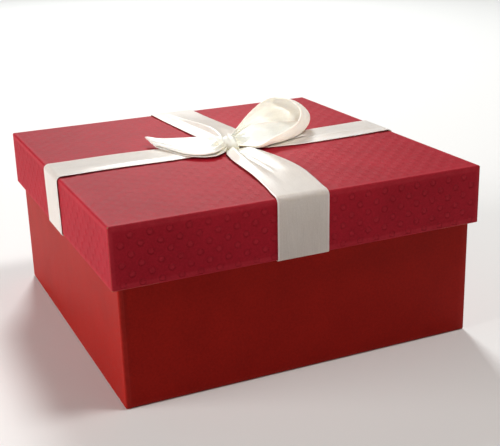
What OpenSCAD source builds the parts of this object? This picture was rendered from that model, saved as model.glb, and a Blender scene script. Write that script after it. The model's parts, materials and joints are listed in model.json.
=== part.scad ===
// Square gift box: a lift-off lid over a base, both made of greyboard panels
// taped at the corners and wrapped in paper, with a satin ribbon tied round
// the lid in a two-loop bow.
// Millimetres. The origin is the middle of the underside, +Z is up, and the
// front is -Y. The lid is drawn closed.

/* [Box] */
// Width of the lid over its wrap paper
lid_w = 180; // [160:1:220]
// Depth of the lid over its wrap paper
lid_d = 180; // [160:1:220]
// Height of the closed box, without the ribbon
box_h = 84; // [70:1:110]
// Height of the lid, from its rim to its top face
lid_h = 28; // [24:1:32]
// How far each lid face stands out past the base face under it
overhang = 3.2; // [2.9:0.1:3.6]

/* [Board and paper] */
// Thickness of the greyboard panels
board_t = 1.5; // [1.2:0.1:1.6]
// Thickness of the wrap paper
wrap_t = 0.25; // [0.2:0.05:0.3]
// Thickness of the paper tape round the board corners
stay_t = 0.15; // [0.1:0.05:0.2]
// Thickness of the lining paper
lining_t = 0.2; // [0.15:0.05:0.25]
// Height of the dots embossed in the lid's wrap paper
emboss_h = 0.25; // [0.2:0.05:0.5]
// How far the base's wrap paper is turned in over the rim
turn_in = 15; // [10:1:20]

/* [Ribbon] */
// Width of the ribbon
ribbon_w = 25; // [20:1:30]
// Thickness of the ribbon
ribbon_t = 0.25; // [0.2:0.05:0.3]
// How far the ribbon's ends run up inside the lid
tuck = 18; // [12:1:20]

/* [Bow] */
// Length of the open loop, from the knot to its end
right_loop_l = 53; // [46:1:56]
// Half the height of the open loop
right_loop_h = 6.5; // [5:0.5:8]
// Length of the flattened loop
left_loop_l = 39; // [36:1:46]
// Half the height of the flattened loop
left_loop_h = 2.6; // [2:0.1:4]
// Length of the tail under the open loop
right_tail_l = 47; // [40:1:52]
// Length of the tail at the back
back_tail_l = 70; // [60:1:75]

/* [Hidden] */

base_w = lid_w - 2 * overhang;
base_d = lid_d - 2 * overhang;
lid_rim_z = box_h - lid_h;
skin_t = wrap_t + stay_t;          // from a wrap's outer face to the board under it
lid_rest_gap = 0.15;               // between the base's rim and the lid's lining
base_h = box_h - wrap_t - board_t - lining_t - lid_rest_gap;
turn_in_gap = 2;                   // board left bare between the lid's turn-in and its lining
lid_turn_in = lid_h - wrap_t - board_t - turn_in_gap;

sheet_inset = 2;                   // the bottom sheet stops this far inside the base
turn_under = 14;                   // the base wrap's flaps under the bottom board
stay_leg = 20;                     // reach of a corner stay along each wall
lining_drop = 4;                   // the lining stops this far below the base's rim

strap_front_x = -3;                // where the ribbon crosses each edge of the lid
strap_back_x = 3;
strap_left_y = 0.4;
strap_right_y = 0;
pad_t = 0.1;                       // double-sided tape under a ribbon end
pad_w = 20;
pad_h = 12;
ribbon_z = box_h + emboss_h;       // underside of the lower ribbon on the lid
bow_z = ribbon_z + 2 * ribbon_t;   // top of the two crossed ribbons

knot_x = 0;
knot_y = -3;
knot_r = 4.5;
knot_len = 8;
knot_bulge_r = 12;                 // radius of the knot's barrel shape along its length
knot_turn = -20;                   // azimuth of the knot's axis
knot_room = 6.3;                   // the loops and tails start this far from the knot's middle
knot_room_sides = 12;              // sides of the clear space round the knot
loop_t = 0.5;                      // ribbon as thick as a stiff solid needs to be
loop_steps = 36;
loop_start = 30;                   // outline angle at which a loop leaves the knot
gather_w = 0.4 * ribbon_w;         // width of a loop or tail where the knot grips it
gather_l = 0.8 * ribbon_w;         // length over which it spreads to its full width
tail_slant = 0.45 * ribbon_w;      // how far the cut end of a tail slants

// How each piece leaves the knot: azimuth and lift in degrees, and its height
// over the crossed ribbons
right_loop_pose = [18, 14, 6.2];
left_loop_pose = [160, 3, 2.3];
right_tail_pose = [12, 0.6, 0.2];
back_tail_pose = [50, 2, 0.9];

ribbon_colour = "ivory";
lid_colour = "crimson";
base_colour = "firebrick";
board_colour = "darkgray";
lining_colour = "whitesmoke";
stay_colour = "burlywood";
tape_colour = "lightyellow";

// ---- Trays -------------------------------------------------------------

// A block centred on Z, from z upwards.
module block(w, d, h, z = 0) {
    translate([-w / 2, -d / 2, z]) cube([w, d, h]);
}

// One greyboard wall of a tray w wide and d deep over its boards, on the
// -Y side, with mitred ends.
module wall_board(w, d, h) {
    linear_extrude(h)
        polygon([
            [-w / 2, -d / 2],
            [w / 2, -d / 2],
            [w / 2 - board_t, -d / 2 + board_t],
            [-w / 2 + board_t, -d / 2 + board_t]
        ]);
}

// Paper tape folded round the four corners of a tray.
module corner_stays(w, d, h) {
    for (sx = [-1, 1], sy = [-1, 1])
        scale([sx, sy, 1])
            linear_extrude(h)
                difference() {
                    translate([w / 2 - stay_leg, d / 2 - stay_leg])
                        square([stay_leg + stay_t, stay_leg + stay_t]);
                    translate([w / 2 - stay_leg, d / 2 - stay_leg])
                        square([stay_leg, stay_leg]);
                }
}

// The paper round an open tray's walls, folded over the rim at z = h and
// down inside by turn. The board's walls stand board_t + stay_t inside it.
module wrapped_walls(w, d, h, turn) {
    fold = wrap_t + stay_t + board_t + wrap_t;
    difference() {
        block(w, d, h);
        block(w - 2 * wrap_t, d - 2 * wrap_t, h - wrap_t + 1, -1);
        block(w - 2 * fold, d - 2 * fold, h + 2, -1);
    }
    difference() {
        block(w - 2 * wrap_t, d - 2 * wrap_t, wrap_t, h - wrap_t);
        block(w - 2 * fold, d - 2 * fold, 1, h - wrap_t - 0.5);
    }
    difference() {
        block(w - 2 * fold + 2 * wrap_t, d - 2 * fold + 2 * wrap_t, turn, h - turn);
        block(w - 2 * fold, d - 2 * fold, turn + 2, h - turn - 1);
    }
}

// ---- Base --------------------------------------------------------------

board_z = 2 * wrap_t;              // underside of the base's board
base_wall_h = base_h - wrap_t - board_z;
base_bw = base_w - 2 * skin_t;     // over the base's boards
base_bd = base_d - 2 * skin_t;

module base_bottom_board() {
    color(board_colour)
        block(base_bw - 2 * board_t, base_bd - 2 * board_t, board_t, board_z);
}

module base_wall(turn, w, d) {
    color(board_colour)
        translate([0, 0, board_z]) rotate([0, 0, turn]) wall_board(w, d, base_wall_h);
}

module base_corner_stays() {
    color(stay_colour)
        translate([0, 0, board_z]) corner_stays(base_bw, base_bd, base_wall_h);
}

module base_wrap() {
    color(base_colour) {
        translate([0, 0, wrap_t])
            wrapped_walls(base_w, base_d, base_h - wrap_t, turn_in);
        difference() {
            block(base_w - wrap_t, base_d - wrap_t, wrap_t, wrap_t);
            block(base_w - 2 * turn_under, base_d - 2 * turn_under, 1, 0);
        }
    }
}

module base_bottom_sheet() {
    color(base_colour)
        block(base_w - 2 * sheet_inset, base_d - 2 * sheet_inset, wrap_t);
}

module base_lining() {
    w = base_bw - 2 * (board_t + wrap_t);
    d = base_bd - 2 * (board_t + wrap_t);
    floor_z = board_z + board_t;
    color(lining_colour)
        difference() {
            block(w, d, base_h - lining_drop - floor_z, floor_z);
            block(w - 2 * lining_t, d - 2 * lining_t, base_h, floor_z + lining_t);
        }
}

// ---- Lid ---------------------------------------------------------------

lid_bw = lid_w - 2 * skin_t;       // over the lid's boards
lid_bd = lid_d - 2 * skin_t;
lid_wall_h = lid_h - 2 * wrap_t;
lid_board_top = box_h - wrap_t;

module lid_top_board() {
    color(board_colour)
        block(lid_bw - 2 * board_t, lid_bd - 2 * board_t, board_t, lid_board_top - board_t);
}

module lid_wall(turn, w, d) {
    color(board_colour)
        translate([0, 0, lid_rim_z + wrap_t]) rotate([0, 0, turn]) wall_board(w, d, lid_wall_h);
}

module lid_corner_stays() {
    color(stay_colour)
        translate([0, 0, lid_rim_z + wrap_t]) corner_stays(lid_bw, lid_bd, lid_wall_h);
}

module lid_wrap() {
    color(lid_colour) {
        translate([0, 0, box_h]) mirror([0, 0, 1])
            wrapped_walls(lid_w, lid_d, lid_h, lid_turn_in);
        block(lid_w - wrap_t, lid_d - wrap_t, wrap_t, box_h - wrap_t);
    }
}

module lid_lining() {
    w = lid_bw - 2 * board_t;
    d = lid_bd - 2 * board_t;
    color(lining_colour)
        block(w, d, lining_t, lid_board_top - board_t - lining_t);
}

// ---- Ribbon ------------------------------------------------------------

// A ribbon's end on the -Y face of the lid, centred on x = at: down the
// skirt from z = top, round the rim and up inside it.
module ribbon_end(at, half_d, top) {
    outer = half_d + emboss_h + ribbon_t;
    inner = half_d - skin_t - board_t - wrap_t - pad_t;
    translate([at - ribbon_w / 2, 0, 0]) {
        translate([0, -outer, lid_rim_z])
            cube([ribbon_w, ribbon_t, top - lid_rim_z]);
        translate([0, -outer, lid_rim_z - ribbon_t])
            cube([ribbon_w, outer - inner + ribbon_t, ribbon_t]);
        translate([0, -inner, lid_rim_z])
            cube([ribbon_w, ribbon_t, tuck]);
    }
}

// One ribbon over the lid from front to back, with its underside at z.
module ribbon_strap(front, back, half_d, z) {
    reach = half_d + emboss_h + ribbon_t;
    translate([0, 0, z])
        linear_extrude(ribbon_t)
            polygon([
                [front - ribbon_w / 2, -reach],
                [front + ribbon_w / 2, -reach],
                [back + ribbon_w / 2, reach],
                [back - ribbon_w / 2, reach]
            ]);
    ribbon_end(front, half_d, z);
    rotate([0, 0, 180]) ribbon_end(-back, half_d, z);
}

module ribbon_lengthwise() {
    color(ribbon_colour) ribbon_strap(strap_front_x, strap_back_x, lid_d / 2, ribbon_z);
}

module ribbon_crosswise() {
    color(ribbon_colour)
        rotate([0, 0, -90])
            ribbon_strap(-strap_left_y, -strap_right_y, lid_w / 2, ribbon_z + ribbon_t);
}

module tape_pad(at, half_d) {
    inner = half_d - skin_t - board_t - wrap_t;
    translate([at - pad_w / 2, -inner, lid_rim_z + tuck - pad_h]) cube([pad_w, pad_t, pad_h]);
}

module ribbon_tape_pads() {
    color(tape_colour) {
        tape_pad(strap_front_x, lid_d / 2);
        rotate([0, 0, 180]) tape_pad(-strap_back_x, lid_d / 2);
        rotate([0, 0, -90]) tape_pad(-strap_left_y, lid_w / 2);
        rotate([0, 0, 90]) tape_pad(strap_right_y, lid_w / 2);
    }
}

// ---- Bow ---------------------------------------------------------------

// Places a piece of the bow, drawn out along +X from the knot, and keeps it
// clear of the knot itself.
module from_knot(pose) {
    translate([knot_x, knot_y, bow_z])
        difference() {
            translate([0, 0, pose[2]]) rotate([0, 0, pose[0]]) rotate([0, -pose[1], 0])
                children();
            cylinder(h = 4 * knot_r, r = knot_room, center = true, $fn = knot_room_sides);
        }
}

// The plan of a ribbon of length l spreading from the knot, its end cut
// at a slant.
module spread_plan(l, slant) {
    polygon([
        [0, -gather_w / 2],
        [gather_l, -ribbon_w / 2],
        [l - slant, -ribbon_w / 2],
        [l, ribbon_w / 2],
        [gather_l, ribbon_w / 2],
        [0, gather_w / 2]
    ]);
}

// A point on a loop's outline: a teardrop of length l and half height h,
// with its point at the knot.
function teardrop(a, l, h) = [l * (1 - cos(a)) / 2, h * sin(a) * pow(sin(a / 2), 0.8)];

// The same point moved out square to the outline by d.
function teardrop_side(a, l, h, d) =
    let (p = teardrop(a - 1, l, h), q = teardrop(a + 1, l, h))
    teardrop(a, l, h) + d * [p[1] - q[1], q[0] - p[0]] / norm(q - p);

// A band of ribbon bent round a teardrop, its width along Y.
module ribbon_loop(l, h) {
    step = 2 * (180 - loop_start) / loop_steps;
    angles = [for (i = [0:loop_steps]) loop_start + i * step];
    band = concat(
        [for (a = angles) teardrop_side(a, l, h, loop_t / 2)],
        [for (i = [loop_steps:-1:0]) teardrop_side(angles[i], l, h, -loop_t / 2)]
    );
    intersection() {
        rotate([90, 0, 0]) linear_extrude(ribbon_w, center = true) polygon(band);
        linear_extrude(4 * h, center = true) spread_plan(l + loop_t, 0);
    }
}

// A flat tail.
module ribbon_tail(l) {
    linear_extrude(loop_t) spread_plan(l, tail_slant);
}

module bow_knot() {
    color(ribbon_colour)
        translate([knot_x, knot_y, bow_z + knot_r])
            rotate([0, 0, knot_turn]) rotate([0, 90, 0])
                rotate_extrude($fn = 48)
                    intersection() {
                        translate([knot_r - knot_bulge_r, 0]) circle(knot_bulge_r, $fn = 96);
                        translate([0, -knot_len / 2]) square([knot_r, knot_len]);
                    }
}

module bow_right_loop() {
    color(ribbon_colour) from_knot(right_loop_pose) ribbon_loop(right_loop_l, right_loop_h);
}

module bow_left_loop() {
    color(ribbon_colour) from_knot(left_loop_pose) ribbon_loop(left_loop_l, left_loop_h);
}

module bow_right_tail() {
    color(ribbon_colour) from_knot(right_tail_pose) ribbon_tail(right_tail_l);
}

module bow_back_tail() {
    color(ribbon_colour) from_knot(back_tail_pose) ribbon_tail(back_tail_l);
}

// ---- Nodes -------------------------------------------------------------

base_bottom_board();
base_wall(0, base_bw, base_bd);  // base_front_board
base_wall(180, base_bw, base_bd);  // base_back_board
base_wall(-90, base_bd, base_bw);  // base_left_board
base_wall(90, base_bd, base_bw);  // base_right_board
base_corner_stays();
base_wrap();
base_bottom_sheet();
base_lining();
lid_top_board();
lid_wall(0, lid_bw, lid_bd);  // lid_front_board
lid_wall(180, lid_bw, lid_bd);  // lid_back_board
lid_wall(-90, lid_bd, lid_bw);  // lid_left_board
lid_wall(90, lid_bd, lid_bw);  // lid_right_board
lid_corner_stays();
lid_wrap();
lid_lining();
ribbon_lengthwise();
ribbon_crosswise();
ribbon_tape_pads();
bow_knot();
bow_right_loop();
bow_left_loop();
bow_right_tail();
bow_back_tail();
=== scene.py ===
import json
import math

import bmesh
import bpy
import numpy as np
from mathutils import Matrix, Vector


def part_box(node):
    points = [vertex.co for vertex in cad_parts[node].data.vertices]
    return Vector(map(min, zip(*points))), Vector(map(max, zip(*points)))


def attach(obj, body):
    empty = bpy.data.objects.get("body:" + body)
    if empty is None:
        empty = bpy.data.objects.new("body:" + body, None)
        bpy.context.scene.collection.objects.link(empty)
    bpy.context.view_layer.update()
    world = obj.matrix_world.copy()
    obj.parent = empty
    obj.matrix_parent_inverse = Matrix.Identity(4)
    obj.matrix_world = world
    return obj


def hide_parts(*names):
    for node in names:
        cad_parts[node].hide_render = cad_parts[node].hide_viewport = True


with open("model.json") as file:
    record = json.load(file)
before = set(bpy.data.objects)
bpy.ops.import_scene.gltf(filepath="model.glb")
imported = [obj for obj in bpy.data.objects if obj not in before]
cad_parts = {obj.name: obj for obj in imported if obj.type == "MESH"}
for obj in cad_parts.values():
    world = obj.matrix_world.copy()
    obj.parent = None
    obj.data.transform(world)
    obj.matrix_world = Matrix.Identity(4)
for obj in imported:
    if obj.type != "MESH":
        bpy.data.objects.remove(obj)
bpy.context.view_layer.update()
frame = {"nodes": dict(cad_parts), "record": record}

# Looks of the gift box: folded wrap papers, the embossed lid and the satin bow, built round the packed
# boards. Lengths are in metres, in the frame of the CAD model. Shapes are written in millimetres, through MM.

MM = 0.001
SEED = 7
ALONG = "along"                    # the ribbons' UV map: metres along and across the ribbon

# ---- Sizes read from the frame -------------------------------------------------------------------------

lid_low, lid_high = (np.array(corner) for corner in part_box("lid_wrap"))
base_low, base_high = (np.array(corner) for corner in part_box("base_wrap"))
lid_w = lid_high[0] - lid_low[0]
lid_half = lid_w / 2
base_half = (base_high[0] - base_low[0]) / 2
lid_top = lid_high[2]
rim_z = lid_low[2]
base_top = base_high[2]
strap_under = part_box("ribbon_lengthwise")[0][2]
pad_low, pad_high = (np.array(corner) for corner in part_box("ribbon_tape_pads"))

WRAP_T = lid_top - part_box("lid_top_board")[1][2]
LID_BOARD_IN = -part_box("lid_front_board")[1][1]
BASE_BOARD_IN = -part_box("base_front_board")[1][1]
EMBOSS_H = -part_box("ribbon_lengthwise")[0][1] - lid_half - (rim_z - strap_under)
RIBBON_T = rim_z - strap_under
RIBBON_W = 25 * MM


# ---- Camera, floor and light ---------------------------------------------------------------------------

def make_camera(place, target, roll, lens):
    """A camera at place that looks at target, both in lid widths, with its roll in degrees."""
    camera = bpy.data.objects.new("camera", bpy.data.cameras.new("camera"))
    bpy.context.scene.collection.objects.link(camera)
    camera.data.lens = lens
    camera.data.sensor_width = 36
    camera.location = Vector(place) * lid_w
    look = (Vector(target) * lid_w - camera.location).to_track_quat("-Z", "Y")
    tilt = Matrix.Rotation(math.radians(roll), 4, "Z")
    camera.matrix_world = Matrix.Translation(camera.location) @ look.to_matrix().to_4x4() @ tilt
    bpy.context.scene.camera = camera


def add_lamp(name, light, place, target):
    """Hangs a light at place, facing target."""
    lamp = bpy.data.objects.new(name, light)
    bpy.context.scene.collection.objects.link(lamp)
    lamp.location = place
    lamp.rotation_euler = (Vector(target) - Vector(place)).to_track_quat("-Z", "Y").to_euler()


def soft_light(name, place, size, power, tint):
    """A square soft box at place, facing the middle of the box."""
    light = bpy.data.lights.new(name, "AREA")
    light.size = size
    light.energy = power
    light.color = tint
    add_lamp(name, light, place, (0, 0, lid_top / 2))


def spot_light(name, place, target, cone, radius, power, tint):
    """A soft-edged spot from place to target, with a cone of so many degrees."""
    light = bpy.data.lights.new(name, "SPOT")
    light.spot_size = math.radians(cone)
    light.spot_blend = 1
    light.shadow_soft_size = radius
    light.energy = power
    light.color = tint
    add_lamp(name, light, place, target)


def make_floor(width, shade):
    """A pale matt table, wide enough to fill the view. It lies just under the box."""
    bpy.ops.mesh.primitive_plane_add(size=width, location=(0, 0, -0.05 * MM))
    floor = bpy.context.object
    floor.name = "floor"
    pale = bpy.data.materials.new("floor")
    pale.use_nodes = True
    sockets = pale.node_tree.nodes["Principled BSDF"].inputs
    sockets["Base Color"].default_value = (shade, shade, shade, 1)
    sockets["Roughness"].default_value = 0.9
    floor.data.materials.append(pale)


def make_world(seen, lit, tint):
    """A plain room: the camera sees it at one brightness, and it lights the box at another, with a tint."""
    world = bpy.data.worlds.new("room")
    bpy.context.scene.world = world
    world.use_nodes = True
    tree = world.node_tree
    sky = tree.nodes["Background"]
    path = tree.nodes.new("ShaderNodeLightPath")
    colour = tree.nodes.new("ShaderNodeMix")
    colour.data_type = "RGBA"
    colour.inputs[6].default_value = [c * lit for c in tint] + [1]
    colour.inputs[7].default_value = [seen] * 3 + [1]
    tree.links.new(path.outputs["Is Camera Ray"], colour.inputs[0])
    tree.links.new(colour.outputs[2], sky.inputs["Color"])


make_camera(place=(-1.0458, -2.5103, 1.1786), target=(0, -0.149, 0.287), roll=-1.68, lens=71.5)
make_floor(width=3.3, shade=0.84)
make_world(seen=1.0, lit=0.075, tint=(1, 0.86, 0.78))
soft_light("window", place=(0.38, 1.38, 1.22), size=0.4, power=25, tint=(0.97, 1, 0.99))
soft_light("overhead", place=(0.45, -0.3, 1.45), size=0.35, power=9, tint=(1, 0.97, 0.94))
soft_light("front", place=(0.6, -1.3, 0.45), size=0.4, power=1.1, tint=(1, 0.72, 0.55))
soft_light("side", place=(-1.45, 0.1, 0.45), size=0.9, power=20.5, tint=(1, 0.96, 0.93))
spot_light("on the bow", place=(-0.4, -1.3, 1.0), target=(0.014, 0.012, lid_top + 0.01), cone=4.4,
           radius=0.05, power=110, tint=(1, 0.98, 0.9))
bpy.context.scene.view_settings.view_transform = "Standard"


# ---- Materials -----------------------------------------------------------------------------------------

class Paint:
    """A node material, with short ways to add the nodes that its patterns use."""

    def __init__(self, name, roughness, **sockets):
        self.material = bpy.data.materials.new(name)
        self.material.use_nodes = True
        self.tree = self.material.node_tree
        self.shader = self.tree.nodes["Principled BSDF"]
        self.shader.inputs["Roughness"].default_value = roughness
        for socket, value in sockets.items():
            self.shader.inputs[socket.replace("_", " ")].default_value = value

    def node(self, kind, **settings):
        made = self.tree.nodes.new("ShaderNode" + kind)
        for key, value in settings.items():
            if hasattr(made, key):
                setattr(made, key, value)
            else:
                made.inputs[key.replace("_", " ")].default_value = value
        return made

    def link(self, output, target):
        self.tree.links.new(output, target)
        return target

    def place(self, stretch=(1, 1, 1)):
        """Coordinates in millimetres, stretched along each axis."""
        coordinates = self.node("TexCoord")
        mapping = self.node("Mapping")
        mapping.inputs["Scale"].default_value = [1 / (MM * s) for s in stretch]
        self.link(coordinates.outputs["Object"], mapping.inputs["Vector"])
        return mapping.outputs["Vector"]

    def along(self, stretch):
        """Coordinates along and across a ribbon, in millimetres, stretched along each."""
        flat = self.node("UVMap", uv_map=ALONG)
        mapping = self.node("Mapping")
        mapping.inputs["Scale"].default_value = [1 / (MM * s) for s in stretch]
        self.link(flat.outputs["UV"], mapping.inputs["Vector"])
        return mapping.outputs["Vector"]

    def noise(self, at, scale, detail=3, roughness=0.55):
        made = self.node("TexNoise", Scale=scale, Detail=detail, Roughness=roughness)
        self.link(at, made.inputs["Vector"])
        return made.outputs["Fac"]

    def ramp(self, value, stops):
        """A value turned into a colour by stops of (place, colour)."""
        made = self.node("ValToRGB")
        elements = made.color_ramp.elements
        while len(elements) < len(stops):
            elements.new(0.5)
        for element, (at, colour) in zip(elements, stops):
            element.position = at
            element.color = (*colour, 1)
        self.link(value, made.inputs["Fac"])
        return made.outputs["Color"]

    def spread(self, value, low, high, start=0.0, end=1.0):
        """A value from start to end mapped to low to high."""
        made = self.node("MapRange")
        made.inputs["From Min"].default_value = start
        made.inputs["From Max"].default_value = end
        made.inputs["To Min"].default_value = low
        made.inputs["To Max"].default_value = high
        self.link(value, made.inputs["Value"])
        return made.outputs["Result"]

    def math(self, operation, a, b):
        made = self.node("Math", operation=operation)
        for socket, value in zip(made.inputs, (a, b)):
            if isinstance(value, (int, float)):
                socket.default_value = value
            else:
                self.link(value, socket)
        return made.outputs["Value"]

    def mix(self, factor, a, b):
        """Colour a mixed with colour b."""
        made = self.node("Mix", data_type="RGBA")
        for socket, value in zip((made.inputs[0], made.inputs[6], made.inputs[7]), (factor, a, b)):
            if isinstance(value, (int, float)):
                socket.default_value = value
            elif isinstance(value, tuple):
                socket.default_value = (*value, 1)
            else:
                self.link(value, socket)
        return made.outputs[2]

    def attribute(self, name):
        return self.node("Attribute", attribute_name=name).outputs["Fac"]

    def bump(self, height, depth):
        """Relief depth millimetres high."""
        made = self.node("Bump", Strength=1.0, Distance=depth * MM)
        previous = self.shader.inputs["Normal"].links
        if previous:
            self.link(previous[0].from_socket, made.inputs["Normal"])
        self.link(height, made.inputs["Height"])
        self.link(made.outputs["Normal"], self.shader.inputs["Normal"])

    def colour(self, output):
        self.link(output, self.shader.inputs["Base Color"])

    def roughness(self, output):
        self.link(output, self.shader.inputs["Roughness"])


def wrap_paper(name, dark, light, grain_depth, highlight_and_wear_strength, roughness):
    """Dyed cover paper with a soft sheen: mottled dye, fine fibre relief, and pale folds and dot tops,
    painted as highlight with a little rubbed wear.
    """
    p = Paint(name, roughness, Specular_IOR_Level=0.075)
    at = p.place()
    mottle = p.noise(at, 0.055, 4, 0.6)
    flecks = p.noise(at, 0.9, 5, 0.75)
    body = p.ramp(p.math("ADD", p.math("MULTIPLY", mottle, 0.25), p.math("MULTIPLY", flecks, 0.75)),
                  [(0.41, dark), (0.59, light)])
    # Folds and dot tops are painted paler: a painted highlight where light catches them, with a little rubbed
    # wear on the folds.
    pale_highlight_and_wear = tuple(min(1, c * 1.35 + 0.03) for c in light)
    fold_highlight_and_wear = p.math("MULTIPLY", p.attribute("edge"), 0.6)
    dot_highlight = p.math("MULTIPLY", p.attribute("emboss"), 0.4)
    highlight_and_wear = p.math("MAXIMUM", fold_highlight_and_wear, dot_highlight)
    painted_highlight_and_wear = p.math("MULTIPLY", highlight_and_wear, p.spread(p.noise(at, 0.35, 4, 0.7), highlight_and_wear_strength * 0.5, highlight_and_wear_strength, 0.42, 0.7))
    p.colour(p.mix(painted_highlight_and_wear, body, pale_highlight_and_wear))
    p.roughness(p.spread(flecks, roughness - 0.06, roughness + 0.08, 0.3, 0.7))
    p.bump(p.attribute("emboss"), 0.5)
    p.bump(p.noise(at, 0.12, 3, 0.5), 0.12)
    p.bump(p.noise(at, 1.3, 5, 0.7), grain_depth)
    return p.material


def board_material():
    """Greyboard: pressed recycled fibre with dark and light flecks."""
    p = Paint("greyboard", 0.92, Specular_IOR_Level=0.25)
    at = p.place()
    fibre = p.noise(p.place((0.6, 2.2, 0.8)), 1.5, 6, 0.75)
    body = p.ramp(fibre, [(0.3, (0.19, 0.175, 0.155)), (0.7, (0.34, 0.32, 0.29))])
    flecks = p.spread(p.noise(at, 2.6, 2, 0.5), 0, 0.8, 0.64, 0.7)
    p.colour(p.mix(flecks, body, (0.09, 0.08, 0.07)))
    p.bump(fibre, 0.06)
    return p.material


def plain_paper(name, dark, light, roughness):
    """Uncoated paper with long fibres and a cloudy look-through."""
    p = Paint(name, roughness, Specular_IOR_Level=0.3)
    cloud = p.noise(p.place(), 0.12, 5, 0.6)
    fibre = p.noise(p.place((0.5, 3.0, 0.5)), 1.2, 5, 0.7)
    p.colour(p.ramp(p.math("ADD", p.math("MULTIPLY", cloud, 0.6), p.math("MULTIPLY", fibre, 0.4)),
                    [(0.35, dark), (0.65, light)]))
    p.bump(fibre, 0.03)
    return p.material


def satin_material(name, deep, pale):
    """Ivory satin ribbon. Long floats of warp give a soft sheen along it, with fine streaks and firm woven
    edges."""
    p = Paint(name, 0.36, Specular_IOR_Level=0.55, Sheen_Weight=0.15, Sheen_Roughness=0.35,
              Anisotropic=0.55, Subsurface_Weight=0.6, Subsurface_Scale=0.002,
              Subsurface_Radius=(1, 0.85, 0.7))
    warp = p.noise(p.along((9, 0.28, 1)), 1.0, 3, 0.6)
    slub = p.noise(p.along((1.6, 0.07, 1)), 1.0, 2, 0.5)
    shade = p.noise(p.along((14, 5, 1)), 1.0, 2, 0.5)
    edge = p.attribute("selvage")
    weave = p.noise(p.along((0.8, 0.6, 1)), 1.0, 3, 0.7)
    streaks = p.math("ADD", p.math("MULTIPLY", warp, 0.35), p.math("MULTIPLY", slub, 0.15))
    mottle = p.math("ADD", p.math("MULTIPLY", shade, 0.2), p.math("MULTIPLY", weave, 0.3))
    ground = p.ramp(p.math("ADD", streaks, mottle), [(0.4, deep), (0.6, pale)])
    # Near the knot the satin is painted a pale cream: a painted glow of the light that passes through and
    # between the ribbons there.
    knot_glow_painted = p.mix(p.attribute("knot_glow"), ground, (0.98, 0.94, 0.78))
    p.colour(p.mix(edge, knot_glow_painted, (0.93, 0.83, 0.76)))
    p.roughness(p.spread(warp, 0.30, 0.42, 0.3, 0.7))
    p.bump(warp, 0.02)
    p.bump(slub, 0.01)
    p.bump(weave, 0.03)
    tangent = p.node("Tangent", direction_type="UV_MAP", uv_map=ALONG)
    p.link(tangent.outputs["Tangent"], p.shader.inputs["Tangent"])
    return p.material


def tape_material():
    """Double-sided tape: a thin clear film over a yellowish glue with small trapped bubbles."""
    p = Paint("tape", 0.25, Coat_Weight=0.4, Coat_Roughness=0.1)
    bubbles = p.node("TexVoronoi", Scale=0.8)
    p.link(p.place(), bubbles.inputs["Vector"])
    p.colour(p.ramp(bubbles.outputs["Distance"], [(0.1, (0.86, 0.80, 0.60)), (0.5, (0.75, 0.67, 0.44))]))
    p.bump(bubbles.outputs["Distance"], 0.02)
    return p.material


materials = {
    "greyboard": board_material(),
    "stay_paper": plain_paper("stay_paper", (0.33, 0.22, 0.12), (0.46, 0.32, 0.19), roughness=0.8),
    "lining_paper": plain_paper("lining_paper", (0.70, 0.67, 0.61), (0.80, 0.78, 0.73), roughness=0.75),
    "base_paper": wrap_paper("base_paper", (0.26, 0.006, 0.003), (0.34, 0.009, 0.0045), grain_depth=0.08,
                             highlight_and_wear_strength=0.5, roughness=0.5),
    "lid_paper": wrap_paper("lid_paper", (0.30, 0.007, 0.017), (0.39, 0.011, 0.025), grain_depth=0.12,
                            highlight_and_wear_strength=0.6, roughness=0.55),
    "satin": satin_material("satin", (0.82, 0.80, 0.72), (0.94, 0.92, 0.85)),
    # Where the ribbon lies on the lid it is painted darker and pinker: painted shade and red light bounced
    # off the lid, with the red paper showing through a little.
    "satin_painted_pink_shade": satin_material("satin_painted_pink_shade", (0.72, 0.60, 0.515), (0.84, 0.72, 0.635)),
    "tape": tape_material(),
}
for part in frame["record"]["subparts"]:
    node = frame["nodes"][part["node"]]
    node.data.materials.clear()
    node.data.materials.append(materials[part["material_slot"]])


# ---- Meshes --------------------------------------------------------------------------------------------

def make_piece(name, points, faces, body, slot, replaced, attributes, merge=False):
    """A smooth-shaded mesh that rides on a body and takes the place of CAD nodes and its slot's material."""
    mesh = bpy.data.meshes.new(name)
    mesh.from_pydata([tuple(map(float, p)) for p in points], [], faces)
    for key, values in attributes.items():
        mesh.attributes.new(key, "FLOAT", "POINT").data.foreach_set("value", np.array(values, np.float32))
    if merge:
        work = bmesh.new()
        work.from_mesh(mesh)
        bmesh.ops.remove_doubles(work, verts=work.verts, dist=1e-6)
        bmesh.ops.dissolve_degenerate(work, edges=work.edges, dist=1e-7)
        bmesh.ops.recalc_face_normals(work, faces=work.faces)
        work.to_mesh(mesh)
        work.free()
    mesh.materials.append(materials[slot])
    mesh.polygons.foreach_set("use_smooth", [True] * len(mesh.polygons))
    mesh.validate()
    piece = bpy.data.objects.new(name, mesh)
    bpy.context.scene.collection.objects.link(piece)
    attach(piece, body)
    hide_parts(*replaced)
    return piece


def bands(rows, per_row, closed):
    """Quads that join rows of points, each row per_row long."""
    made = []
    for row in range(rows - 1):
        for i in range(per_row if closed else per_row - 1):
            j = (i + 1) % per_row
            here, above = row * per_row, (row + 1) * per_row
            made.append((here + i, here + j, above + j, above + i))
    return made


# ---- Wrapped papers ------------------------------------------------------------------------------------

SIDE_TURNS = (0, 90, 180, 270)     # front, right, back, left: each side's turn about +Z
CORNER_STEPS = 4                   # faces round each of the box's corners


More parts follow.
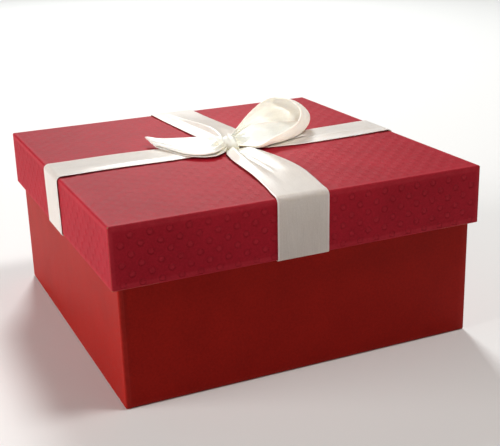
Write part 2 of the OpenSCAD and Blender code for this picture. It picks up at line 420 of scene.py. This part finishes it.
def ring(along, half, corner_r, inset, height):
    """A loop round the box at a height: the points of each side at the distances in along, then a rounded
    corner. Inset moves the loop in from the outer face. Returns the points and, for each, its side, its
    distance along it and the direction that it faces."""
    points, sides, places, facing = [], [], [], []
    flat = half - inset
    arc_r = max(corner_r - inset, 0)
    for side, turn in enumerate(SIDE_TURNS):
        turned = math.radians(turn)
        outward = np.array([math.sin(turned), -math.cos(turned)])
        rightward = np.array([math.cos(turned), math.sin(turned)])
        for s in along:
            held = min(max(s, -flat + arc_r), flat - arc_r)
            points.append((*(rightward * held + outward * flat), height))
            sides.append(side)
            places.append(s)
            facing.append(outward)
        for step in range(1, CORNER_STEPS):
            angle = math.radians(90 * step / CORNER_STEPS)
            centre = (rightward + outward) * (flat - arc_r)
            direction = outward * math.cos(angle) + rightward * math.sin(angle)
            points.append((*(centre + direction * arc_r), height))
            sides.append(-1)
            places.append(0)
            facing.append(direction)
    return np.array(points), np.array(sides), np.array(places), np.array(facing)


def fold(centre_inset, centre_z, radius, start, end, steps=4):
    """Profile points (inset, height) round a fold, from one angle to another in degrees. 0 faces out of the
    box and 90 faces up."""
    angles = np.radians(np.linspace(start, end, steps + 1))
    return [(centre_inset - radius * math.cos(a), centre_z + radius * math.sin(a)) for a in angles]


DOT_PITCH = 8.5 * MM               # between dots in one row; the rows are half of this apart
ROW_CELLS = 5                      # cells of the mesh's grid from row to row
CELL = DOT_PITCH / (2 * ROW_CELLS)
DOT_RINGS = (0.0, 0.95 * MM, 1.75 * MM)      # a dot's rings of grid points: radius, and share of its height
DOT_HEIGHTS = (1.0, 0.9, 0.0)
TOP_TINT = 0.2                     # how much the dots on the lid's top show in its painted highlight and bump, next to the sides'


def dots(u, v, limit_u, limit_v):
    """For grid points at u, v in a flat face: how far each moves in the face so that the grid runs round the
    dots, and how high it stands. Dots that would reach past the limits are left out."""
    i, j = np.round(u / CELL).astype(int), np.round(v / CELL).astype(int)
    on_grid = (np.abs(u - i * CELL) < CELL / 50) & (np.abs(v - j * CELL) < CELL / 50)
    row = np.round(j / ROW_CELLS).astype(int)
    shift = ROW_CELLS * (row % 2)
    column = np.round((i - shift) / (2 * ROW_CELLS)).astype(int)
    dot_i, dot_j = column * 2 * ROW_CELLS + shift, row * ROW_CELLS
    di, dj = i - dot_i, j - dot_j
    reach = np.maximum(np.abs(di), np.abs(dj))
    dot_u, dot_v = dot_i * CELL, dot_j * CELL
    whole = (np.abs(dot_u) + DOT_RINGS[2] < limit_u) & (dot_v + DOT_RINGS[2] < limit_v[1])
    whole &= dot_v - DOT_RINGS[2] > limit_v[0]
    used = on_grid & whole & (reach <= 2)
    k = np.clip(reach, 0, 2)
    angle = np.arctan2(dj, di)
    radius = np.array(DOT_RINGS)[k]
    new_u = np.where(used, dot_u + radius * np.cos(angle), u)
    new_v = np.where(used, dot_v + radius * np.sin(angle), v)
    return new_u, new_v, np.where(used, np.array(DOT_HEIGHTS)[k], 0.0)


def lid_paper():
    """The lid's cover paper: embossed on its outside, folded over every edge and turned in round the rim."""
    fold_r = 0.9 * MM
    inner = lid_half - LID_BOARD_IN + WRAP_T
    turn_in_top = lid_top - 4.25 * MM      # it stops short of the top board and its lining
    back_z = rim_z + 1.2 * MM              # from here the paper's hidden side slants round the rim
    highlight_and_wear_side, highlight_and_wear_top = 1.2 * MM, 0.9 * MM           # how wide the folds' painted highlight and wear are
    reach = lid_half - fold_r
    whole_cells = math.floor(reach / CELL)
    along = np.concatenate([[-reach], np.arange(-whole_cells, whole_cells + 1) * CELL, [reach]])
    first_row = 2.2 * MM                   # from the rim up to the lowest row of dots
    heights = rim_z + first_row + CELL * np.arange(-1, (lid_top - rim_z) // CELL)
    heights = heights[heights < lid_top - fold_r][::-1]
    profile = fold(fold_r, lid_top - fold_r, fold_r, 90, 0)
    skirt_from = len(profile)
    profile += [(0, z) for z in heights]
    skirt_to = len(profile)
    profile += fold(fold_r, rim_z + fold_r, fold_r, 0, -90)
    profile += fold(inner - fold_r, rim_z + fold_r, fold_r, -90, -180)
    profile += [(inner, rim_z + (turn_in_top - rim_z) * t) for t in (0.35, 0.7, 1)]
    profile += [(inner - WRAP_T, turn_in_top), (inner - WRAP_T, back_z),
                (inner - 2 * WRAP_T, rim_z + WRAP_T), (WRAP_T + fold_r, rim_z + WRAP_T),
                (WRAP_T, back_z), (WRAP_T, lid_top - WRAP_T)]

    points, edge, relief = [], [], []
    for k, (inset, z) in enumerate(profile):
        where, sides, places, facing = ring(along, lid_half, fold_r, inset, z)
        if skirt_from <= k < skirt_to:
            row_z = np.full(len(places), z - rim_z - first_row)
            u, v, lift = dots(places, row_z, reach, (-first_row, lid_top - rim_z - first_row - fold_r))
            lift = np.where(sides >= 0, lift, 0)
            for side, turn in enumerate(SIDE_TURNS):
                on = sides == side
                turned = math.radians(turn)
                moved = (u - places)[on]
                where[on, 0] += math.cos(turned) * moved
                where[on, 1] += math.sin(turned) * moved
            where[:, 2] = np.where(sides >= 0, v + rim_z + first_row, z)
            where[:, :2] += facing * (lift * EMBOSS_H)[:, None]
        else:
            lift = np.zeros(len(where))
        # The folds at the top edge and round the rim, each with two rows of the skirt beside it: these get
        # the painted highlight and wear.
        near_fold = k < skirt_from + 2 or skirt_to - 2 <= k < skirt_to + 6
        corner = (sides < 0) | (np.abs(places) > reach - highlight_and_wear_side)
        points.append(where)
        edge.append(np.where(near_fold | corner, 1.0, 0.0))
        relief.append(lift)
    per_row = len(points[0])
    faces = bands(len(profile), per_row, True)
    count = per_row * len(profile)
    faces.append(tuple(range(count - per_row, count)))

    grid_u, grid_v = np.meshgrid(along, along, indexing="ij")
    u, v, lift = dots(grid_u.ravel(), grid_v.ravel(), reach, (-reach, reach))
    top = np.stack([u, v, lid_top + lift * EMBOSS_H], 1)
    n = len(along)
    for i in range(n - 1):
        for j in range(n - 1):
            a = count + i * n + j
            faces.append((a, a + n, a + n + 1, a + 1))
    points.append(top)
    from_middle = np.maximum(np.abs(grid_u), np.abs(grid_v)).ravel()
    # The top's edges get the painted highlight and wear too.
    edge.append(np.where(from_middle > reach - highlight_and_wear_top, 1.0, 0.0))
    relief.append(lift * TOP_TINT)
    make_piece("lid_paper", np.concatenate(points), faces, "lid", "lid_paper", ["lid_wrap"],
               {"edge": np.concatenate(edge), "emboss": np.concatenate(relief)}, merge=True)


lid_paper()


SEAM_W = 1.9 * MM                  # the lap of the base's paper onto its front face
SEAM_STEP = 0.16 * MM              # how far that lap stands out


def base_paper():
    """The base's cover paper: smooth, lapped at its front left corner, turned in over the rim and under the
    bottom board."""
    fold_r = 0.5 * MM
    corner_r = 0.6 * MM
    under = base_low[2]
    inner = base_half - BASE_BOARD_IN + WRAP_T
    turn_in = 15 * MM                      # down from the rim
    flap = 14 * MM                         # under the bottom board
    highlight_and_wear, highlight_and_wear_lap = 1.0 * MM, 0.4 * MM                # how wide the folds' painted highlight and wear are
    reach = base_half - corner_r
    along = np.linspace(-reach, reach, 45)
    seam = -reach + SEAM_W
    clear = along[(along < seam - MM) | (along > seam + MM)]
    along = np.sort(np.concatenate([clear, [seam - 0.05 * MM, seam]]))
    profile = [(flap, under + WRAP_T), (flap, under)]
    profile += fold(fold_r, under + fold_r, fold_r, -90, 0)
    wall_from = len(profile)
    profile += [(0, z) for z in np.linspace(under + 2 * MM, base_top - 2 * MM, 24)]
    wall_to = len(profile)
    profile += fold(fold_r, base_top - fold_r, fold_r, 0, 90)
    profile += fold(inner - fold_r, base_top - fold_r, fold_r, 90, 180)
    profile += [(inner, base_top - turn_in), (inner - WRAP_T, base_top - turn_in),
                (inner - WRAP_T, base_top - WRAP_T), (WRAP_T, base_top - WRAP_T), (WRAP_T, under + WRAP_T)]
    points, edge = [], []
    for k, (inset, z) in enumerate(profile):
        where, sides, places, facing = ring(along, base_half, corner_r, inset, z)
        lap = (sides == 0) & (places < seam - 0.02 * MM)
        outer = inset < 0.4 * MM
        where[:, :2] += facing * np.where(lap & outer, SEAM_STEP, 0)[:, None]
        # The fold at the foot and the one over the rim: these get the painted highlight and wear.
        near_fold = wall_from - 3 <= k < wall_from or wall_to <= k < wall_to + 7
        corner = (sides < 0) | (np.abs(places) > reach - highlight_and_wear)
        points.append(where)
        edge.append(np.where(near_fold | corner | (lap & (places > seam - highlight_and_wear_lap)), 1.0, 0.0))
    per_row = len(points[0])
    faces = bands(len(profile), per_row, True)
    last = (len(profile) - 1) * per_row
    faces += [(last + i, last + (i + 1) % per_row, (i + 1) % per_row, i) for i in range(per_row)]
    make_piece("base_paper", np.concatenate(points), faces, "base", "base_paper", ["base_wrap"],
               {"edge": np.concatenate(edge), "emboss": np.zeros(per_row * len(profile))}, merge=True)


base_paper()


# ---- Ribbon --------------------------------------------------------------------------------------------

def smooth_curve(stations, count, at=None):
    """A Catmull-Rom curve through the stations: count points at even steps of its parameter, or one at each
    of the given ones."""
    stations = np.array(stations, float)
    if stations.ndim == 1:
        stations = stations[:, None]
    t = np.linspace(0, len(stations) - 1, count) if at is None else np.asarray(at, float)
    k = np.clip(t.astype(int), 0, len(stations) - 2)
    f = (t - k)[:, None]
    padded = np.concatenate([[2 * stations[0] - stations[1]], stations, [2 * stations[-1] - stations[-2]]])
    a, b, c, d = (padded[k + i] for i in range(4))
    square, cube = 2 * a - 5 * b + 4 * c - d, 3 * b - a - 3 * c + d
    made = 0.5 * (2 * b + (c - a) * f + square * f ** 2 + cube * f ** 3)
    return made[:, 0] if made.shape[1] == 1 else made


def ripples(seed, count, along, across, height):
    """A sum of seeded sine waves over a grid of places along and across a ribbon."""
    random = np.random.default_rng(seed)
    total = 0
    for _ in range(count):
        per_m = random.uniform(15, 70)
        turn = random.uniform(-0.9, 0.9)
        wave = per_m * (along * math.sin(turn) + across * math.cos(turn))
        total = total + np.sin(2 * math.pi * wave + random.uniform(0, 6.28))
    return total * height / math.sqrt(count)


ACROSS = 48                        # faces across a ribbon
SELVAGE = 0.035                    # share of its width that each woven edge takes
KNOT_AT = np.array([-2.2, -7.2, 4.2]) * MM + (0, 0, lid_top)           # the knot's middle
KNOT_GLOW_R = 20 * MM                 # the satin is painted creamier and paler this near to the knot: a painted glow of light passing through and between the ribbons
FOLD_MAX = 2.2 * MM                # the highest that a fold of a bow's loop or tail stands
PAD_T = 0.1 * MM                   # the thickness of a tape pad
STRAP_FOLD_R = 0.72 * MM           # round the lid's rim
STRAP_BEND_R = 2.6 * MM            # over the lid's top edge
STRAP_SLACK = 0.08 * MM            # the ribbon's room over the embossed dots
STRAP_STAND = 0.3 * MM             # how far it stands off the edge that it bends over
STRAP_RISE = 22 * MM               # over which it rises to that from where it lies on the lid
STRAP_LAY = 0.58 * MM              # from the lid's top to the middle of a ribbon on it
STRAP_PLEAT = 0.8 * MM             # height of its fine pleats where it is drawn in
STRAP_WAVE = 0.08 * MM             # height of its faint waves where it lies loose
STRAP_LOOSE = 0.5 * MM             # lifted this far, it lies quite loose
STRAP_LENGTH = 0.281               # along its whole run, from one end inside the lid to the other


def unit(vectors):
    """Each vector at length 1."""
    return vectors / np.maximum(np.linalg.norm(vectors, axis=-1, keepdims=True), 1e-12)


def lengths_along(points):
    """The distance travelled along a line of points, at each of them."""
    return np.concatenate([[0], np.cumsum(np.linalg.norm(np.diff(points, axis=0), axis=1))])


def ease(share):
    """From 0 to 1, smoothly."""
    share = np.clip(share, 0, 1)
    return share * share * (3 - 2 * share)


def ribbon(name, middle, flat_length, node, closed=False, bead=1.2, thickness=RIBBON_T,
           finish="satin"):
    """A piece of ribbon that takes a CAD node's place, from its middle surface, a grid of points along and
    across it. It gets its thickness, woven edges bead times as thick, and coordinates for its weave."""
    rows, columns = middle.shape[:2]
    along = np.gradient(middle, axis=0)
    across = np.gradient(middle, axis=1)
    if closed:
        along = (np.roll(middle, -1, 0) - np.roll(middle, 1, 0)) / 2
    normal = unit(np.cross(across, along))
    v = np.linspace(0, 1, columns)
    edge = np.clip((SELVAGE - np.minimum(v, 1 - v)) / SELVAGE * 2, 0, 1)
    half = thickness / 2 * (1 + (bead - 1) * edge)
    half[[0, -1]] = thickness / 4          # the outermost edges are rounded off
    top = middle + normal * half[None, :, None]
    under = middle - normal * half[None, ::-1, None]
    loop = np.concatenate([top, under[:, ::-1]], 1)
    per_row = 2 * columns
    points = loop.reshape(-1, 3)
    faces = bands(rows, per_row, True)
    if closed:
        last = (rows - 1) * per_row
        faces += [(last + i, last + (i + 1) % per_row, (i + 1) % per_row, i) for i in range(per_row)]
    else:
        end = (rows - 1) * per_row
        for j in range(columns - 1):
            faces.append((j + 1, j, per_row - 1 - j, per_row - 2 - j))
            faces.append((end + j, end + j + 1, end + per_row - 2 - j, end + per_row - 1 - j))
    # This attribute places the painted glow near the knot.
    from_knot = np.linalg.norm(points - KNOT_AT, axis=1)
    piece = make_piece(name, points, faces, "lid", "satin", [node],
                       {"selvage": np.tile(np.concatenate([edge, edge[::-1]]), rows),
                        "knot_glow": np.exp(-(from_knot / KNOT_GLOW_R) ** 2)})
    piece.data.materials[0] = materials[finish]
    length = lengths_along(middle[:, columns // 2])
    length *= flat_length / length[-1]
    widths = np.concatenate([v, v[::-1]]) * RIBBON_W
    flat = np.stack([np.repeat(length, per_row), np.tile(widths, rows)], 1)
    layer = piece.data.uv_layers.new(name=ALONG)
    corners = np.zeros(len(piece.data.loops), int)
    piece.data.loops.foreach_get("vertex_index", corners)
    layer.data.foreach_set("uv", flat[corners].astype(np.float32).ravel())


def gathered(near, far, bulge, count, pleats, reach, seed, crease, both_ends=True):
    """The middle surface of a ribbon between two edges, given at stations in millimetres: x, y and the height
    over the lid. Between its edges it bulges by the given offsets, and it gathers into pleats within reach of
    the knot."""
    lift = np.array([0, 0, lid_top / MM])
    edge_a = smooth_curve(np.array(near, float) + lift, count) * MM
    edge_b = smooth_curve(np.array(far, float) + lift, count) * MM
    belly = smooth_curve(bulge, count) * MM
    v = np.linspace(0, 1, ACROSS + 1)
    surface = edge_a[:, None] * (1 - v)[None, :, None] + edge_b[:, None] * v[None, :, None]
    surface += belly[:, None] * (4 * v * (1 - v) * (1.6 - 1.2 * v))[None, :, None]
    normal = unit(np.cross(np.gradient(surface, axis=1), np.gradient(surface, axis=0)))
    travelled = lengths_along((edge_a + edge_b) / 2)[:, None]
    from_knot = np.minimum(travelled, travelled[-1] - travelled) if both_ends else travelled
    fade = 0.08 + 0.92 / (1 + (from_knot / reach) ** 4)
    folds = pleating(seed, pleats, travelled, v[None])
    size = fold_size(surface, folds) * fade[:, 0]
    creases = ripples(seed, count=7, along=travelled, across=v[None] * RIBBON_W, height=crease)
    height = size[:, None] * folds + creases
    return surface + normal * height[..., None]


def fold_size(surface, folds):
    """How high the folds of each row stand so that the row takes up the ribbon's full width."""
    steps = np.linalg.norm(np.diff(surface, axis=1), axis=2)
    across = steps.sum(1)
    low, high = np.zeros(len(surface)), np.minimum(across * 0.4, FOLD_MAX)
    for _ in range(16):
        size = (low + high) / 2
        short = np.hypot(steps, np.diff(size[:, None] * folds, axis=1)).sum(1) < RIBBON_W
        low, high = np.where(short, size, low), np.where(short, high, size)
    return low


def pleating(seed, pleats, along, v):
    """Uneven pleats across a ribbon, between -1 and 1, which wander a little along it."""
    random = np.random.default_rng(seed)
    drift = random.uniform(-8, 8)
    uneven = v + 0.06 * np.sin(2 * math.pi * (v + random.uniform()))
    uneven = uneven + 0.025 * np.sin(4 * math.pi * (v + random.uniform()))
    phase = random.uniform(0, 6.28)
    folds = np.sin(2 * math.pi * pleats * uneven + phase + drift * along)
    folds = folds + 0.4 * np.sin(2 * math.pi * (pleats + 1.5) * uneven + 2.1 - drift * along)
    return folds / 1.4 * np.sqrt(np.sin(math.pi * np.clip(v, 0.02, 0.98)))


def quarter_turn(steps):
    """Angles from 0 to 90 degrees, in radians."""
    return np.radians(np.linspace(0, 90, steps + 1))


def strap_path():
    """The line of a ribbon over the lid, from its end inside one side to its end inside the other: rows of
    distance from the lid's middle and height."""
    inner = -pad_low[1] - PAD_T - RIBBON_T / 2
    outer = lid_half + EMBOSS_H + RIBBON_T / 2 + STRAP_SLACK
    low = rim_z - RIBBON_T / 2
    r, bend = STRAP_FOLD_R, STRAP_BEND_R
    bend_out = outer + STRAP_STAND - bend
    bend_up = lid_top + STRAP_LAY + STRAP_STAND - bend
    side = [(inner, z) for z in np.linspace(pad_high[2], low + r, 9)[:-1]]
    side += [(inner + r - r * math.cos(a), low + r - r * math.sin(a)) for a in quarter_turn(6)]
    side += [(outer - r + r * math.sin(a), low + r - r * math.cos(a)) for a in quarter_turn(6)]
    for share in np.linspace(0, 1, 24)[1:-1]:
        side.append((outer + STRAP_STAND * ease(share), low + r + (bend_up - low - r) * share))
    side += [(bend_out + bend * math.cos(a), bend_up + bend * math.sin(a)) for a in quarter_turn(12)]
    side = np.array(side)
    count = math.floor(bend_out / MM) - 1
    top = np.arange(-count, count + 1) * MM
    rise = ease((np.abs(top) - bend_out) / STRAP_RISE + 1)
    rows = np.stack([top, lid_top + STRAP_LAY + STRAP_STAND * rise], 1)
    return np.concatenate([side * (-1, 1), rows, side[::-1]])


def across_shape(shape, v):
    """Heights across a ribbon from a few places (share of its width, height), joined smoothly."""
    places, heights = np.array(shape).T
    fine = np.linspace(0, 1, 241)
    steps = np.interp(fine, places, heights)
    kernel = np.hanning(21)
    padded = np.pad(steps, 10, mode="edge")
    return np.interp(v, fine, np.convolve(padded, kernel / kernel.sum(), "valid"))


def strap(name, node, turned, stations, first_shape, last_shape, seed):
    """A ribbon over the lid, held at both ends and gathered at its middle. Stations in millimetres: distance
    from the lid's middle, centre, width, lift, and how high its folds stand. Its folds follow the first shape
    before the middle and the last one after it. Turned, it runs from left to right."""
    path = strap_path()
    stations = np.array(stations, float)
    at = np.interp(path[:, 0], stations[:, 0] * MM, np.arange(len(stations)))
    centre, width, lift, folds = (smooth_curve(stations[:, k], 0, at) * MM for k in (1, 2, 3, 4))
    v = np.linspace(0, 1, ACROSS + 1)
    level = path[:, 1] > lid_top
    lift, folds = (np.where(level, np.maximum(k, 0), 0) for k in (lift, folds))
    # The first shape gives way to the last one within 6 mm, under the knot.
    far = ease(path[:, 0] / (6 * MM) + 1.3)[:, None]
    shape = across_shape(first_shape, v)[None] * (1 - far) + across_shape(last_shape, v)[None] * far
    travelled = lengths_along(path)[:, None]
    drawn = np.clip(1 - width / RIBBON_W, 0, 1)[:, None]
    fine = pleating(seed, 3, travelled, v[None]) * np.sqrt(drawn) * STRAP_PLEAT
    wave = ripples(seed, 6, travelled, v[None] * RIBBON_W, STRAP_WAVE) + 2 * STRAP_WAVE
    soft = np.clip(lift / STRAP_LOOSE, 0, 1)[:, None]
    height = path[:, 1:] + lift[:, None] + folds[:, None] * shape + (fine + wave) * soft
    side = centre[:, None] + (v - 0.5)[None] * width[:, None]
    ahead = np.repeat(path[:, :1], ACROSS + 1, 1)
    middle = np.stack([ahead, side, height] if turned else [side, ahead, height], 2)
    # The straps take the copy of the satin that is painted with shade and the lid's red bounce.
    ribbon(name, middle, STRAP_LENGTH, node, finish="satin_painted_pink_shade")


def lengthwise():
    """The ribbon from front to back: a knife pleat runs forward from the knot, and a ridge runs back from
    it."""
    knife = [(0, 0.1), (0.1, 0.6), (0.2, 1), (0.27, 0.85), (0.37, 0.05), (0.46, 0.15), (0.68, 0.6),
             (0.85, 0.6), (1, 0.15)]
    ridge = [(0, 0), (0.16, 0.3), (0.3, 0.35), (0.38, 1), (0.52, 0.75), (0.75, 0.4), (1, 0.05)]
    stations = [(-92, -2.6, 25, 0, 0), (-88, -2.9, 25, 0, 0), (-73, -0.4, 25, 0.3, 0.1),
                (-58, 1.5, 25, 0.6, 0.3), (-45, 2.2, 24.2, 0.5, 0.8), (-35, 2.2, 22.8, 0.4, 1.6),
                (-26, 1.8, 20.5, 0.4, 2.6), (-17, 1.2, 16.5, 0.5, 3.0), (-12, 0.4, 11, 0.3, 1.6),
                (-8, -0.6, 8, 0, 0.2), (-4, -0.4, 8, 0, 0.1), (4, 1.0, 9, 0.2, 0.5), (14, 4.0, 18, 0.4, 2.2),
                (28, 5.8, 24.5, 0.3, 3.4), (43, 5.2, 25, 0.2, 2.8), (57, 4.4, 25, 0.15, 1.8),
                (75, 3.4, 25, 0.1, 0.6), (88, 2.9, 25, 0, 0), (92, 3, 25, 0, 0)]
    strap("ribbon_lengthwise_satin", "ribbon_lengthwise", False, stations, knife, ridge, SEED + 4)


def crosswise():
    """The ribbon from left to right, over the other one: its near edge curls down beside the knot."""
    left = [(0, 0), (0.1, 0.25), (0.2, 1), (0.32, 0.9), (0.6, 0.45), (1, 0.1)]
    right = [(0, 0), (0.16, 0.2), (0.34, 1), (0.5, 0.8), (1, 0.2)]
    stations = [(-92, 0.6, 25, 0, 0), (-86, 0.4, 24.6, 0, 0), (-66, 1.6, 24.4, 0.1, 0.3),
                (-45, 1.4, 24.6, 0.1, 0.5), (-30, 0, 23, 0.15, 0.5), (-17, -2.5, 17, 0.3, 0.5),
                (-9, -4.6, 10, 0.35, 0.3), (-1, -5.6, 8, 0.35, 0.1), (7, -5.2, 10, 0.35, 0.1),
                (16, -4.2, 17, 0.2, 0.15), (35, -3.2, 23, 0.1, 0.4), (60, -1.8, 24.5, 0.1, 1.0),
                (86, 0, 25, 0, 0), (92, 0, 25, 0, 0)]
    strap("ribbon_crosswise_satin", "ribbon_crosswise", True, stations, left, right, SEED + 5)


def knot():
    """The band round the knot. Both of its edges are turned under, in towards the bundle."""
    half_wide, half_tall, sway, crease = 4.1 * MM, 3.4 * MM, 1.1 * MM, 0.09 * MM
    turned = math.radians(-20)
    axis = np.array([math.cos(turned), math.sin(turned), 0])
    sideways = np.array([-axis[1], axis[0], 0])
    # Across the band: distance along the knot, and how far in from its widest place.
    profile = [(1.2, -2.1), (2.6, -2.0), (3.9, -1.7), (4.7, -1.1), (4.5, -0.5), (3.6, -0.25), (2.4, -0.1),
               (1.2, -0.05), (0.1, 0), (-1.1, -0.2), (-2.2, -0.05), (-3.5, -0.25), (-4.4, -0.55),
               (-4.6, -1.1), (-3.8, -1.7), (-2.5, -2.0), (-1.2, -2.1)]
    across = smooth_curve(profile, ACROSS + 1) * MM
    around = np.linspace(0, 2 * math.pi, 72, endpoint=False)[:, None]
    place, depth = across[None, :, 0], across[None, :, 1]
    creases = crease * np.sin(place / MM * 2.1 + 0.9 * np.sin(around + 0.6)) * (depth > -0.9 * MM)
    wide = half_wide + depth + creases
    tall = half_tall + depth + creases
    lean = place - sway * np.sin(around)
    middle = (KNOT_AT + axis * lean[..., None] + sideways * (wide * np.cos(around))[..., None]
              + np.array([0, 0, 1]) * (tall * np.sin(around))[..., None])
    ribbon("bow_knot_satin", middle, 0.0182, node="bow_knot",
           closed=True, bead=1, thickness=0.2 * MM)


def right_loop():
    """The open loop. Its near layer bellies over the lid, and its far layer stands up behind it and leans
    over."""
    near = [(-2.6, -7.6, 4.3), (2.6, -12.3, 4.2), (10, -18.2, 4.2), (18.9, -14.8, 6), (28.3, -10.4, 7.6),
            (35.9, -6.8, 9.4), (40.8, -2, 11.8), (42.2, 1.2, 14.6), (40.6, 4.2, 17.3), (37.8, 7.2, 19.3),
            (34, 12, 19.6), (29.5, 15.5, 17.8), (23, 15, 14.6), (15.5, 11.5, 11.2), (7, 3.2, 8),
            (-2.4, -6.6, 6.1)]
    far = [(-2.2, -6.4, 4.6), (8, 2.6, 6.3), (18, 8, 8.2), (27, 9, 8.2), (36, 10.5, 7), (45, 12, 5.8),
           (52, 15, 5.4), (55, 17.5, 5.6), (54.5, 18.5, 5), (50, 16, 3.9), (44, 13, 3.6),
           (37, 11.5, 4), (28, 10, 4.6), (19, 8, 5.2), (7.5, 1.8, 5.6), (-2.2, -7.2, 5.7)]
    bulge = [(0, 0, 0), (0, -2, -1.4), (-0.8, -3.4, -3.2), (-1, -4.2, -4.4), (-0.4, -4.4, -4.9),
             (1, -3.8, -4.6), (2.8, -2.6, -3.2), (3.8, -0.6, -1.0), (3.6, 1.5, 1), (3.2, 3.5, 1.6),
             (3, 5, 1), (3, 5.4, 0.4), (2.6, 4.6, 0), (1.6, 3, 0), (0.6, 1.2, 0), (0, 0, 0)]
    middle = gathered(near, far, bulge, count=160, pleats=4, reach=10 * MM, seed=SEED, crease=0.3 * MM)
    ribbon("bow_right_loop_satin", middle, 0.125, node="bow_right_loop")


def left_loop():
    """The flattened loop: its layers lie one on the other, and it is folded over at a slant."""
    near = [(-1.5, -7, 4.4), (-7, -12.5, 3.6), (-13, -17, 3.2), (-20, -15.5, 2.6), (-25.5, -10, 2.5),
            (-29.2, 0, 2.7), (-32.4, 9.5, 3.0), (-33.8, 12, 2.4), (-32, 8, 1.7), (-29, -1, 1.5),
            (-25.5, -10.5, 1.5), (-19, -16.5, 1.6), (-12.5, -17.5, 1.6), (-7, -14, 1.8), (-1.5, -7.5, 3.2)]
    far = [(-1, -5, 5.2), (-6.5, 2.5, 5.8), (-12.5, 7, 5.6), (-18, 10.5, 5.2), (-24, 14.5, 5.0),
           (-29.5, 19, 4.9), (-33.8, 24.2, 5.0), (-34.6, 25.5, 4.2), (-32.5, 22.5, 3.2), (-28, 18, 2.6),
           (-22, 13.5, 2.4), (-16, 9, 2.4), (-10, 4.5, 2.6), (-5, 0, 3.0), (-1, -5.5, 3.4)]
    rise = [0, 0.6, 0.9, 1.0, 0.8, 0.6, 0.3, 0, -0.1, -0.2, -0.2, -0.2, -0.1, 0, 0]
    middle = gathered(near, far, [(0, 0, z) for z in rise], count=150, pleats=3, reach=9 * MM,
                      seed=SEED + 1, crease=0.12 * MM)
    ribbon("bow_left_loop_satin", middle, 0.085, node="bow_left_loop")


def tail(name, near, far, flat_length, seed, node):
    """A tail from the knot to its slanting cut end."""
    middle = gathered(near, far, [(0, 0, 0)] * len(near), count=110, pleats=3, reach=12 * MM, seed=seed,
                      crease=0.15 * MM, both_ends=False)
    ribbon(name, middle, flat_length, node)


def right_tail():
    """The tail that lies under the open loop."""
    near = [(0, -7.5, 2.4), (7, -9.5, 1.9), (18, -9, 1.6), (30, -6.5, 1.6), (38, -6.2, 1.9),
            (42.6, -5.4, 2.2)]
    far = [(0.5, -5, 2.4), (7, 1.5, 1.9), (15, 9, 1.6), (24, 14, 1.5), (31, 17.5, 1.7), (35.5, 19.5, 2.1)]
    tail("bow_right_tail_satin", near, far, 0.045, SEED + 2, "bow_right_tail")


def back_tail():
    """The tail that runs back, behind the open loop."""
    near = [(1, -7, 3.8), (12, 1.5, 3.6), (27, 8, 3.2), (40, 16, 2.8), (50, 26, 2.8), (57, 37.5, 3.0),
            (60.5, 45, 3.2)]
    far = [(-0.5, -5, 3.8), (6, 5.5, 3.6), (16.5, 19, 3.0), (24, 30, 3.0), (32, 41, 3.4), (38, 51, 3.8),
           (41.5, 57, 4)]
    tail("bow_back_tail_satin", near, far, 0.075, SEED + 3, "bow_back_tail")


lengthwise()
crosswise()
knot()
right_loop()
left_loop()
right_tail()
back_tail()
